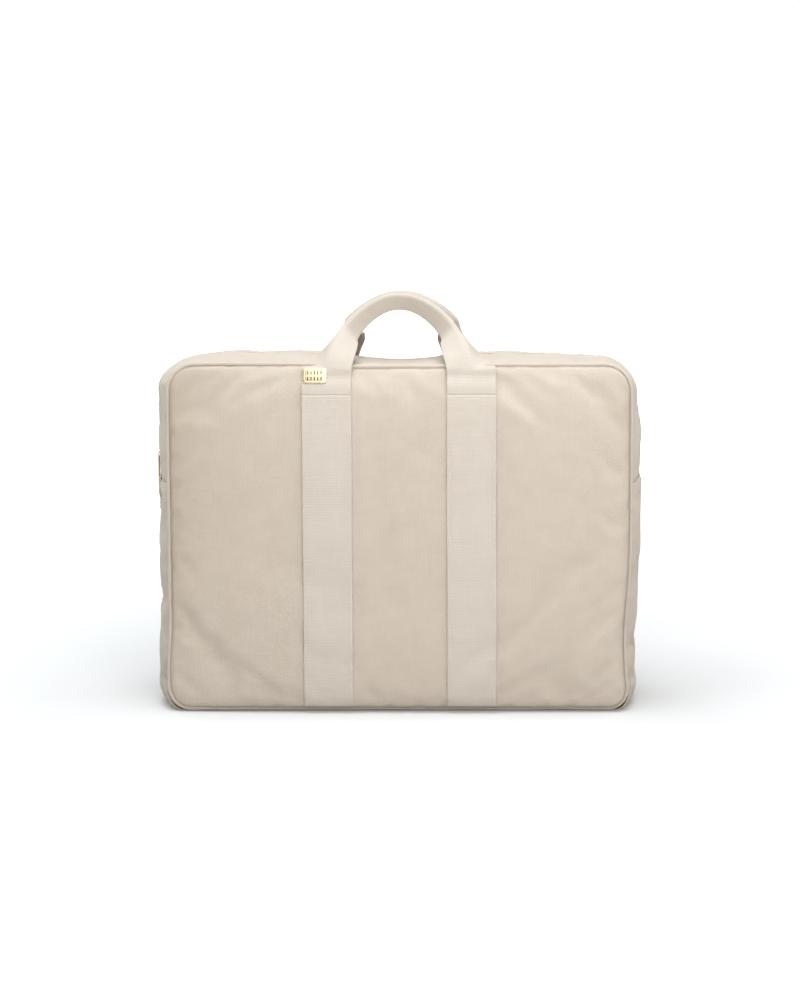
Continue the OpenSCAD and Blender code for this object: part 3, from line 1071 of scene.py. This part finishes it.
def make_slider():
    """A cast slider on the left wall: a shield plate with side flanges, and a loop on top of it."""
    _, half_w, half_l = (SLIDER_HIGH - SLIDER_LOW) / 2
    mid_z = (SLIDER_LOW.z + SLIDER_HIGH.z) / 2
    back_x = SLIDER_HIGH.x + ZIP_SINK
    shield = plate("slider_plate", oval(half_w, half_l, 0, 28, 0.7), None, 1.3 * MM, 0.45 * MM,
                   "brass")
    move(shield, (back_x - 0.65 * MM, 0, mid_z))
    parts = [shield]
    for sign in (-1, 1):
        rail = plate("slider_rail", oval(0.55 * MM, half_l * 0.8, 0, 16, 0.6), None, 1.6 * MM,
                     0.3 * MM, "brass")
        parts.append(move(rail, (back_x + 0.5 * MM, sign * (half_w - 0.8 * MM), mid_z)))
    angles = [math.pi * k / 12 for k in range(13)]
    arch = [(back_x - 1.3 * MM - 2.2 * MM * math.sin(a) ** 0.8, mid_z - 4.2 * MM * math.cos(a))
            for a in angles]
    rows = []
    for k, (x, z) in enumerate(arch):
        x2, z2 = arch[min(k + 1, 12)]
        x1, z1 = arch[max(k - 1, 0)]
        along = Vector((x2 - x1, 0, z2 - z1)).normalized()
        out = Vector((along.z, 0, -along.x))
        rows.append([Vector((x, 0, z)) + out * 0.45 * MM * s + Vector((0, 1, 0)) * 1.1 * MM * c
                     for c, s in circle(12)])
    loop = grid_object("slider_loop", rows, close_v=True)
    edit_mesh(loop)
    dress(loop, "brass")
    mount(join("zip_slider_body", parts + [loop]), "zip_slider", "zip_slider")


def make_puller():
    """A flat tab with an eye at the slider and a slot near its lower end."""
    low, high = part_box("zip_puller")
    _, half_w, half_l = (high - low) / 2
    tab = plate("zip_puller_tab", oval(half_w, half_l, 0, 40, 0.55),
                oval(half_w * 0.42, half_l * 0.2, -half_l * 0.62, 16, 0.7), 1.1 * MM, 0.35 * MM,
                "brass")
    move(tab, ((low.x + high.x) / 2 + ZIP_SINK, 0, (low.z + high.z) / 2))
    mount(tab, "zip_puller", "zip_puller")


def make_end_tabs():
    """A folded piece of canvas over each end of the zip, sewn round its edge."""
    low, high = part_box("zip_end_tab_right")
    for label, sign in (("left", -1), ("right", 1)):
        path = [p for p in lower_path(1.2 * MM) if p[1] > low.z and p[0] * sign > ARC_X]
        if sign > 0:
            path = path[::-1]
        ys = strap_places(high.y - low.y, 7)
        points, uv = gusset_surface(path, ys, 0.9 * MM)
        normals = np.zeros_like(points)
        normals[:, :, 0] = sign
        tab = slab(f"zip_end_tab_{label}_cloth", points, normals, 1.3 * MM, uv=uv)
        dress(tab, "canvas")
        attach(tab, "case")
        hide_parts(f"zip_end_tab_{label}")
        inset = 1.8 * MM
        y0, y1 = low.y + inset, high.y - inset
        z0, z1 = low.z + inset, high.z - inset
        corners = [(y0, z0), (y1, z0), (y1, z1), (y0, z1)]
        lines = list(zip(corners, corners[1:] + corners[:1]))
        seam = sew(f"zip_end_tab_{label}_stitches", lines, surface_tree(tab), "x", sign)
        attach(seam, "case")


# ---- Stitches ----


STITCH = 2.5 * MM
STITCH_GAP = 0.7 * MM
THREAD_R = 0.24 * MM
EDGE_SEAMS = (2.6 * MM, 4.6 * MM)
BOX_INSET = 6.2 * MM
BOX_H = 29.5 * MM


def sew(name, lines, tree, axis, sign):
    """Threads along straight lines on a surface that faces one way along an axis."""
    verts, faces = [], []
    around, along_steps = 6, 5
    for (u0, v0), (u1, v1) in lines:
        length = math.hypot(u1 - u0, v1 - v0)
        count = max(1, int(round(length / (STITCH + STITCH_GAP))))
        direction = off_plane(axis, (u1 - u0) / length, (v1 - v0) / length)
        for k in range(count):
            t = (k + 0.5) / count
            hit, normal, _, _ = cast(tree, axis, sign, u0 + (u1 - u0) * t, v0 + (v1 - v0) * t)
            if hit is None:
                continue
            way = (direction - normal * direction.dot(normal)).normalized()
            tilt = 0.10 * math.sin(k * 2.4)
            cross = normal.cross(way)
            way = (way + cross * tilt).normalized()
            start = len(verts)
            for i in range(along_steps):
                s = -1 + 2 * i / (along_steps - 1)
                r = THREAD_R * math.sqrt(max(0.05, 1 - s ** 4))
                centre = hit + way * s * STITCH / 2 + normal * THREAD_R * (0.25 - 0.9 * s * s)
                verts += [centre + cross * r * a + normal * r * b for a, b in circle(around)]
            faces += tube_faces(start, along_steps, around)
    obj = mesh_object(name, verts, faces)
    layer = obj.data.uv_layers.new(name="weave")
    for loop in obj.data.loops:
        ring, place = divmod(loop.vertex_index, around)
        layer.data[loop.index].uv = (ring * STITCH / along_steps, place * THREAD_R)
    shade_smooth(obj)
    edit_mesh(obj)
    return dress(obj, "thread")


def strap_seams(x0):
    """The seams of one strap: two rows along each edge, and a crossed box below the handle."""
    lines = []
    for sign in (-1, 1):
        for inset in EDGE_SEAMS:
            x = x0 + sign * (STRAP_W / 2 - inset)
            lines.append(((x, LOW_Z + 7 * MM), (x, FREE_Z - 1.5 * MM)))
    half = STRAP_W / 2 - BOX_INSET
    high = FREE_Z - 4.5 * MM
    low = high - BOX_H
    a, b = x0 - half, x0 + half
    lines += [((a, z), (b, z)) for z in (FREE_Z - 1.6 * MM, high, low)]
    lines += [((a, low), (b, high)), ((a, high), (b, low))]
    lines += [((x, low), (x, high)) for x in (a, b)]
    return lines


# ---- Straps ----


def slab(name, middle, normals, thickness, uv=None):
    """A closed band with rounded edges round a middle surface middle[i, j]."""
    n, m = middle.shape[:2]
    widths = np.linalg.norm(np.diff(middle, axis=1), axis=2)
    run = np.hstack([np.zeros((n, 1)), np.cumsum(widths, axis=1)])
    edge = 0.8 * MM
    near = np.minimum(run, run[:, -1:] - run)
    rise = np.sqrt(np.clip(1 - (1 - np.clip(near / edge, 0, 1)) ** 2, 0.09, 1))[:, :, None]
    top = middle + normals * thickness / 2 * rise
    low = middle - normals * thickness / 2 * rise
    loop = np.concatenate([top, low[:, ::-1]], axis=1)
    if uv is None:
        steps = np.linalg.norm(np.diff(middle[:, m // 2], axis=0), axis=1)
        along = np.concatenate([[0], np.cumsum(steps)])
        uv = np.dstack([np.repeat(along[:, None], m, axis=1), run])
    loop_uv = np.concatenate([uv, uv[:, ::-1]], axis=1)
    obj = grid_object(name, loop, uv=loop_uv)
    k = 2 * m
    rings = [[i * k + k - 1, i * k, (i + 1) * k, (i + 1) * k + k - 1] for i in range(n - 1)]
    for start in (0, (n - 1) * k):
        rings += [[start + j, start + j + 1, start + k - 2 - j, start + k - 1 - j]
                  for j in range(m - 1)]

    def close_rim(bm):
        bm.verts.ensure_lookup_table()
        layer = bm.loops.layers.uv["weave"]
        for ring in rings:
            face = bm.faces.new([bm.verts[v] for v in ring])
            face.smooth = True
            for corner in face.loops:
                corner[layer].uv = loop_uv[corner.vert.index // k, corner.vert.index % k]

    edit_mesh(obj, close_rim)
    return obj


def strap_places(width, count=9):
    """Places across a strap, closer together at its rounded edges."""
    edge = np.array([0, 0.15, 0.4, 0.8, 1.6]) * MM
    inner = np.linspace(edge[-1] + 2 * MM, width - edge[-1] - 2 * MM, count)
    return np.concatenate([edge, inner, width - edge[::-1]]) - width / 2


def strap_row(x0, z, height, places):
    """How far out each place across the strap lies, at one height above the floor."""
    base = np.array([height(x0 + q, z) for q in places])
    flat = ramp(z, 200 * MM, FREE_Z)
    lift = STRAP_T * (0.5 * ramp(z, LOW_Z + 3 * MM, LOW_Z + 12 * MM) + 0.02)
    return (0.5 + 0.5 * flat) * base.mean() + (0.5 - 0.5 * flat) * base + lift


def make_strap(side, x0, height, label):
    """Webbing sewn flat to the panel, with its seams."""
    sign = SIDES[side]
    low = LOW_Z + 3.4 * MM
    zs = np.concatenate([np.linspace(low, low + 11 * MM, 8),
                         np.arange(low + 14 * MM, FREE_Z - 1 * MM, 3 * MM), [FREE_Z]])
    places = strap_places(STRAP_W)
    middle = np.zeros((len(zs), len(places), 3))
    normals = np.zeros_like(middle)
    normals[:, :, 1] = sign
    for i, z in enumerate(zs):
        row = strap_row(x0, z, height, places)
        for j, q in enumerate(places):
            drift = 0.5 * MM * ripple(0, 0, z, 70 * MM, x0 * 40) * (1 - ramp(z, 200 * MM, FREE_Z))
            middle[i, j] = (x0 + q + drift, sign * row[j], z)
    obj = slab(f"{side}_strap_{label}", middle, normals, STRAP_T)
    dress(obj, "webbing")
    fold_blend(obj)
    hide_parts(f"{side}_strap_{label}_lower", f"{side}_strap_{label}_upper")
    seam = sew(f"{side}_strap_{label}_stitches", strap_seams(x0), surface_tree(obj), "y", sign)
    fold_blend(seam)


# ---- Handles ----


GRIP_R = 56.5 * MM
GRIP_TURN = math.radians(54)
GRIP_TOP = HANDLE_TOP_Z - 4.6 * MM
GRIP_Y = -6.0 * MM
GRIP_TILT = math.radians(24)
GRIP_DROOP = 1.6 * MM
# Folded, the webbing is this much narrower than its two halves
GRIP_PINCH = 0.88
ARCH_STEPS = 10


def handle_controls(side, height):
    """Points of the webbing's middle line: up the left leg, over the arch and down the right leg."""
    leg = []
    for z in (FREE_Z, FREE_Z + 7 * MM, FREE_Z + 14 * MM):
        row = strap_row(-STRAP_X, z, height, strap_places(STRAP_W))
        leg.append(Vector((-STRAP_X, -float(row.mean()), z)))
    top = TOP_Z + 1 * MM
    leg[1].y -= 0.3 * MM
    # The back webbing leans inwards sooner, to meet the front grip
    steps = ((0.4, -5.2, -3), (2.8, 0.5, 8), (7.0, 13, 19))
    if side == "back":
        steps = ((3.4, -5.0, -4), (7.0, 1.2, 7), (10.5, 14, 17.5))
        leg[1].x += 0.5 * MM
        leg[2].x += 1.7 * MM
    for lean, over, above in steps:
        leg.append(Vector((-STRAP_X + lean * MM, -PIPE_Y + over * MM, top + above * MM)))
    arch = []
    for k in range(ARCH_STEPS + 1):
        share = -1 + 2 * k / ARCH_STEPS
        a = share * GRIP_TURN
        y = GRIP_Y - 13 * MM * abs(share) ** 2.4
        droop = GRIP_DROOP * ramp(abs(share), 0.05, 0.75)
        arch.append(Vector((GRIP_R * math.sin(a), y, GRIP_TOP - GRIP_R * (1 - math.cos(a)) - droop)))
    right = [Vector((-p.x, p.y, p.z)) for p in leg[::-1]]
    return leg + arch + right, len(leg)


def spline(points, steps):
    """A smooth line through the points, with steps samples between each two, and its parameter."""
    out = []
    last = len(points) - 1
    for i in range(last):
        a, b = points[max(i - 1, 0)], points[i]
        c, d = points[i + 1], points[min(i + 2, last)]
        for k in range(steps):
            t = k / steps
            place = (2 * b + (c - a) * t + (2 * a - 5 * b + 4 * c - d) * t * t
                     + (3 * b - a - 3 * c + d) * t ** 3) / 2
            out.append((i + t, place))
    return out + [(float(last), points[-1])]


def folded_section(psi, places):
    """Where each place across the webbing goes when it is folded by psi along its middle.

    Gives (across, behind, slope) for each place.
    """
    turn_half = 2.6 * MM
    fine = np.linspace(0, STRAP_W / 2, 160)
    angle = np.clip(fine / turn_half, 0, 1) * psi / 2
    step = fine[1] - fine[0]
    u = np.concatenate([[0], np.cumsum((np.cos(angle[1:]) + np.cos(angle[:-1])) / 2 * step)])
    w = np.concatenate([[0], np.cumsum((np.sin(angle[1:]) + np.sin(angle[:-1])) / 2 * step)])
    q = np.abs(places)
    return np.sign(places) * np.interp(q, fine, u), np.interp(q, fine, w), np.interp(q, fine, angle)


def fold_angle(side, near):
    """How far the webbing's outer half has turned under, at a number of controls from its end."""
    start, power, turn = (2.85, 0.65, 4.9) if side == "front" else (2.75, 0.5, 4.4)
    flare = 80 * min(1.0, max(0.0, (near - start) / (5.0 - start))) ** power
    return math.radians(flare + 94 * ramp(near, turn, 6.0))


def turned(inner, back, angle):
    c, s = math.cos(angle), math.sin(angle)
    return inner * c + back * s, back * c - inner * s


def webbing_frame(line, i, legs):
    """How near a sample of the line is to an end, and which ways inwards and backwards are."""
    t, p = line[i]
    last = line[-1][0]
    before, after = line[max(i - 1, 0)][1], line[min(i + 1, len(line) - 1)][1]
    tangent = (after - before).normalized()
    near, way = (last - t, -1) if t > last / 2 else (t, 1)
    if near < legs:
        arch_in = Vector((way * math.sin(GRIP_TURN), 0, -math.cos(GRIP_TURN)))
        inner = Vector((way, 0, 0)).lerp(arch_in, ramp(near, legs - 3.0, legs))
    else:
        inner = Vector((-p.x, 0, GRIP_TOP - GRIP_R - p.z))
    inner = (inner - tangent * inner.dot(tangent)).normalized()
    back = tangent.cross(inner)
    back = back if back.y > 0 else -back
    return near, *turned(inner, back, GRIP_TILT * ramp(near, legs - 0.6, legs + 0.2))


def make_handle(side, height):
    """Webbing that leaves the face flat, folds in half and makes an arched grip."""
    sign = SIDES[side]
    controls, legs = handle_controls(side, height)
    line = spline(controls, 6)
    places = strap_places(STRAP_W, 17)
    middle = np.zeros((len(line), len(places), 3))
    normals = np.zeros_like(middle)
    last = len(controls) - 1
    for i, (t, p) in enumerate(line):
        near, inner, back = webbing_frame(line, i, legs)
        psi = fold_angle(side, near)
        pinch = 1 - (1 - GRIP_PINCH) * ramp(near, legs - 1.5, legs + 0.5)
        pinch -= 0.14 * bump_at(t, last / 2, 3.5)
        e, b = turned(inner, back, -psi / 2)
        u, w, angle = folded_section(psi, places)
        for j in range(len(places)):
            s = 1 if places[j] >= 0 else -1
            middle[i, j] = p + (e * u[j] + b * w[j]) * pinch
            if side == "back" and s < 0:
                # The outer corner lies down over the piping
                tuck = bump_at(near, 3.2, 0.6) * (places[j] * 2 / STRAP_W) ** 2
                middle[i, j, 2] -= 4.5 * MM * tuck
            normals[i, j] = -b * math.cos(angle[j]) + e * (s * math.sin(angle[j]))
    middle[:, :, 1] *= -sign
    normals[:, :, 1] *= -sign
    if sign > 0:
        # The back grip leans against the front one, a little higher and to the right
        rest = np.array([ramp(p.z, TOP_Z, GRIP_TOP - 20 * MM) for _, p in line])[:, None]
        middle[:, :, 0] += 1.4 * MM * rest
        middle[:, :, 2] += 0.5 * MM * rest
    obj = slab(f"{side}_handle_webbing", middle, normals, STRAP_T)
    dress(obj, "webbing")
    handle_blend(obj)
    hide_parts(f"{side}_handle")
    return obj


# ---- Tag ----


TAG_BAR_PITCH = 2.7 * MM


def make_tag(handle):
    """A gold plate over the left edge of the left strap, with a raised rim and plain bars."""
    tree = surface_tree(handle)
    mid_x, _, mid_z = (TAG_LOW + TAG_HIGH) / 2
    half_w, _, half_h = (TAG_HIGH - TAG_LOW) / 2
    ends = [cast(tree, "y", -1, mid_x + 4 * MM, mid_z + share * half_h)[0] for share in (-0.8, 0.8)]

    def outline(inset):
        return oval(half_w - inset, half_h - inset, 0, 48, 0.28)

    parts = [plate("tag_face", outline(0), None, 0.9 * MM, 0.3 * MM, "gold_metal")]
    rim = plate("tag_rim", outline(0.7 * MM), outline(1.5 * MM), 0.5 * MM, 0.12 * MM, "gold_metal")
    parts.append(move(rim, (0.6 * MM, 0, 0)))
    for row in (-1, 1):
        for k in range(-2, 3):
            bar = oval(0.55 * MM, 1.6 * MM, 0, 14, 0.6)
            rib = plate("tag_rib", bar, None, 0.5 * MM, 0.12 * MM, "enamel")
            parts.append(move(rib, (0.45 * MM, k * TAG_BAR_PITCH, row * 2.4 * MM)))
    edge = plate("tag_edge", oval(1.5 * MM, half_h - 0.6 * MM, 0, 24, 0.4), None, 0.8 * MM, 0.2 * MM,
                 "gold_metal")
    edge.data.transform(Matrix.Rotation(math.radians(90), 4, "Z"))
    parts.append(move(edge, (-1.2 * MM, -half_w + 0.2 * MM, 0)))
    tag = join("metal_tag_plate", parts)
    tilt = math.atan2(ends[1].y - ends[0].y, ends[1].z - ends[0].z)
    place_y = (ends[0].y + ends[1].y) / 2
    turn = Matrix.Rotation(-tilt, 4, "X") @ Matrix.Rotation(math.radians(-90), 4, "Z")
    tag.data.transform(Matrix.Translation((mid_x + 1.9 * MM, place_y - 0.6 * MM, mid_z)) @ turn)
    mount(tag, "front_handle", "metal_tag")


# ---- Inside ----


def divider_face(low, high, sign):
    """One quilted face of the divider, with rounded lower corners."""
    columns, rows = 75, 47
    thick = high.y - low.y
    xs = np.linspace(low.x + 1 * MM, high.x - 1 * MM, columns)
    zs = np.linspace(low.z + 0.5 * MM, high.z - 2 * MM, rows)
    pitch = (high.x - low.x) / 9
    r = 22 * MM
    points = np.zeros((rows, columns, 3))
    for i, z in enumerate(zs):
        for j, x in enumerate(xs):
            cx = max(0.0, abs(x) - (xs[-1] - r)) / r
            cz = max(0.0, (zs[0] + r) - z) / r
            k = max(1.0, math.hypot(cx, cz)) if cx > 0 and cz > 0 else 1.0
            px = x if k == 1 else math.copysign(xs[-1] - r + r * cx / k, x)
            pz = z if k == 1 else zs[0] + r - r * cz / k
            edge = min(xs[-1] - abs(x), zs[-1] - z + 4 * MM, z - zs[0])
            puff = abs(math.sin(math.pi * (x - low.x) / pitch)) ** 0.35
            fill = (1 - math.exp(-edge / (3 * MM))) * (0.55 + 0.45 * puff)
            out = 0.6 * MM + (thick / 2 - 0.7 * MM) * fill
            points[i, j] = (px, (high.y + low.y) / 2 + sign * out, pz)
    return grid_object("divider_face", points)


def make_divider():
    """A quilted pad that makes the laptop compartment."""
    low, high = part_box("laptop_divider")
    pad = join("divider_pad", [divider_face(low, high, sign) for sign in (-1, 1)])
    edit_mesh(pad, lambda bm: bmesh.ops.bridge_loops(bm, edges=open_edges(bm)))
    dress(pad, "lining")
    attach(pad, "case")
    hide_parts("laptop_divider")
    make_divider_tape((high.y + low.y) / 2)


def make_divider_tape(mid_y):
    """Tape that binds the divider's top edge."""
    low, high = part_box("divider_binding")
    half_y, half_z = (high.y - low.y) / 2 - 0.3 * MM, (high.z - low.z) / 2
    rows = []
    for x in np.linspace(low.x, high.x, 90):
        ring = []
        for c, s in circle(20):
            wobble = 1 + 0.04 * ripple(x, c, s, 12 * MM, 3.0)
            ring.append((x, mid_y + half_y * wobble * squarish(c, 0.6),
                         (low.z + high.z) / 2 + half_z * squarish(s, 0.5)))
        rows.append(ring)
    binding = grid_object("divider_tape", rows, close_v=True)
    edit_mesh(binding, lambda bm: bmesh.ops.holes_fill(bm, edges=open_edges(bm), sides=0))
    dress(binding, "webbing")
    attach(binding, "case")
    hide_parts("divider_binding")


# ---- Build ----

make_camera()
make_stage()

for side in SIDES:
    height = make_panel(side)
    make_layer(side, "foam", 7 * MM, 2.2 * MM, 3.6 * MM, height)
    lining = make_layer(side, "lining", 3.0 * MM, 6.6 * MM, LINING_T, height)
    make_piping(side)
    make_zip_gusset(side)
    for label, x0 in (("left", -STRAP_X), ("right", STRAP_X)):
        make_strap(side, x0, height, label)
    handle = make_handle(side, height)
    if side == "front":
        make_tag(handle)
    make_teeth(side)
make_lower_gusset()
make_gusset_linings()
make_tapes()
make_slider()
make_puller()
make_end_tabs()
make_divider()

for name, slot_name in (("base_foam", "foam"), ("base_board", "board")):
    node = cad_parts[name]
    node.data.materials.clear()
    node.data.materials.append(MATERIALS[slot_name])
